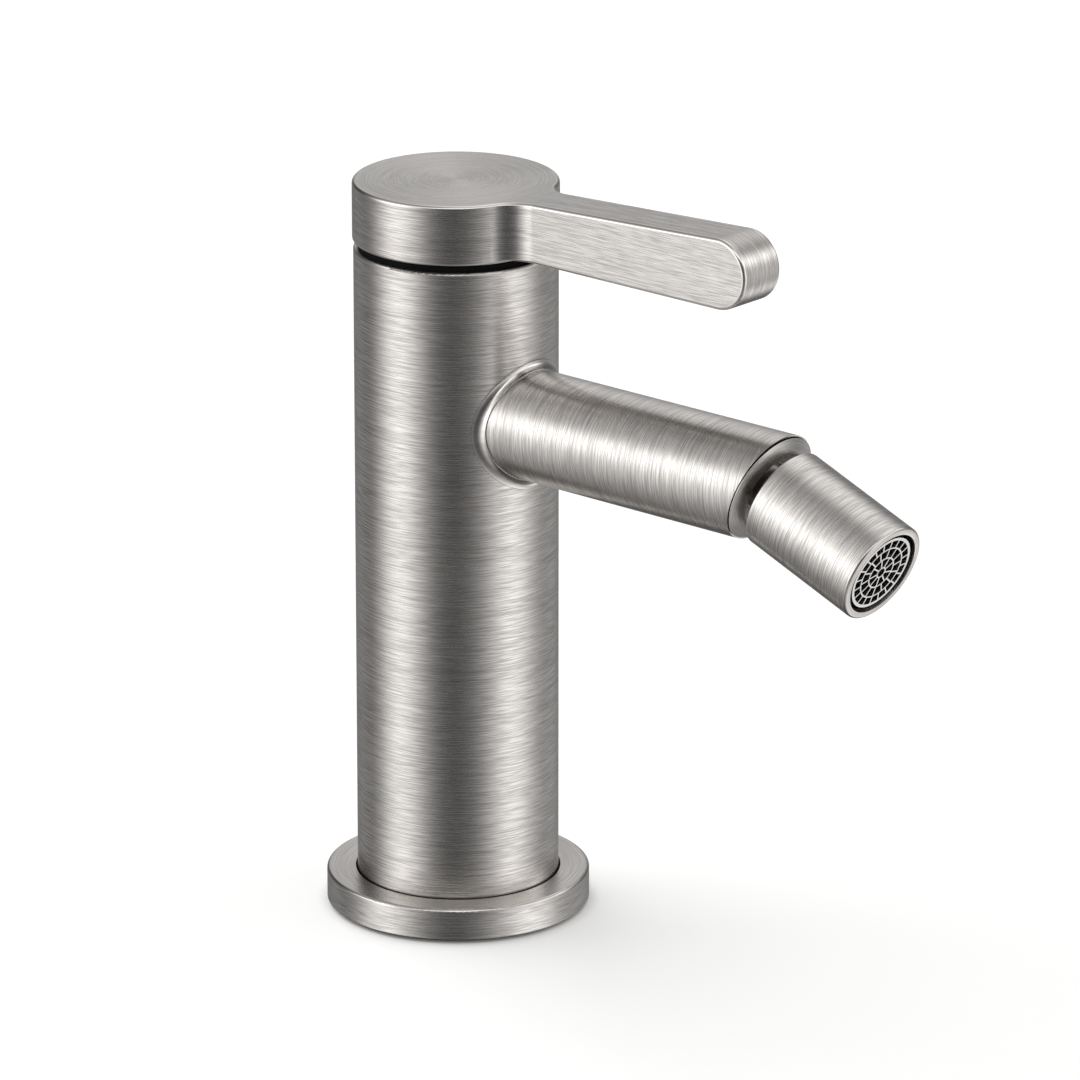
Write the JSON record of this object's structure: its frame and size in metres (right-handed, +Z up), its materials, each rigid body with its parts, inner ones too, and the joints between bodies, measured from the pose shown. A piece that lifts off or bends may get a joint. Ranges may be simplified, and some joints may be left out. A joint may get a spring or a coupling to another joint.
{
  "type": "bidet mixer",
  "caption": "Deck-mounted bidet mixer in brushed steel: round body on a flange, turning lever on top, straight coved spout and a ball-jointed aerator nozzle.",
  "frame": {"origin": "on the body's axis at the deck, 0.4 mm below the mouth of the fixing stud's hole", "axes": "+Z up along the body's axis, +X along the spout at rest, cold water on +Y and hot on -Y"},
  "size_m": [0.1371, 0.0522, 0.1512],
  "materials": {
    "brushed_steel": "fine brushed, satin",
    "plain_steel": "turned, plain",
    "grille_steel": "bright pressed",
    "brass": "turned, bare",
    "copper": "drawn tube, bare",
    "rubber": "moulded, matt",
    "black_plastic": "moulded, matt",
    "white_plastic": "moulded, satin",
    "acetal": "moulded, smooth",
    "ceramic": "lapped flat"
  },
  "bodies": {
    "mixer_body": {"base_flange": "brushed_steel", "body_shell": "brushed_steel", "spout_collar": "brushed_steel", "spout_tube": "brushed_steel", "ball_socket_ring": "brushed_steel", "inlet_block": "brass", "cartridge_seat": "brass", "cartridge_nut": "brass", "spout_nipple": "brass", "hot_inlet_tube": "copper", "cold_inlet_tube": "copper", "base_gasket": "rubber", "inlet_tube_o_rings": "rubber", "seat_o_ring": "rubber", "cartridge_base_seals": "rubber", "spout_o_ring": "rubber", "glide_ring": "black_plastic", "cartridge_base": "white_plastic", "cartridge_housing": "white_plastic", "fixed_ceramic_disc": "ceramic"},
    "handle": {"lever_handle": "brushed_steel", "handle_insert": "black_plastic", "handle_grub_screw": "plain_steel", "cartridge_spindle": "plain_steel", "spindle_o_ring": "rubber", "moving_ceramic_disc": "ceramic"},
    "ball_seat": {"ball_seat_ring": "acetal"},
    "nozzle": {"swivel_ball": "brass", "aerator_housing": "brushed_steel", "aerator_washer": "rubber", "aerator_insert": "black_plastic", "aerator_grille": "grille_steel"}
  },
  "joints": [
    {"name": "lever_turn", "type": "hinge", "parent": "mixer_body", "child": "handle", "pos_m": [0, 0, 0.1427], "axis": [0, 0, 1], "range_deg": [0, 100]},
    {"name": "nozzle_swivel", "type": "hinge", "parent": "mixer_body", "child": "ball_seat", "pos_m": [0.07568, 0, 0.10437], "axis": [0.9298, 0, -0.3681], "continuous": true},
    {"name": "nozzle_tilt", "type": "hinge", "parent": "ball_seat", "child": "nozzle", "pos_m": [0.07568, 0, 0.10437], "axis": [0, 1, 0], "range_deg": [-15, 15]}
  ]
}
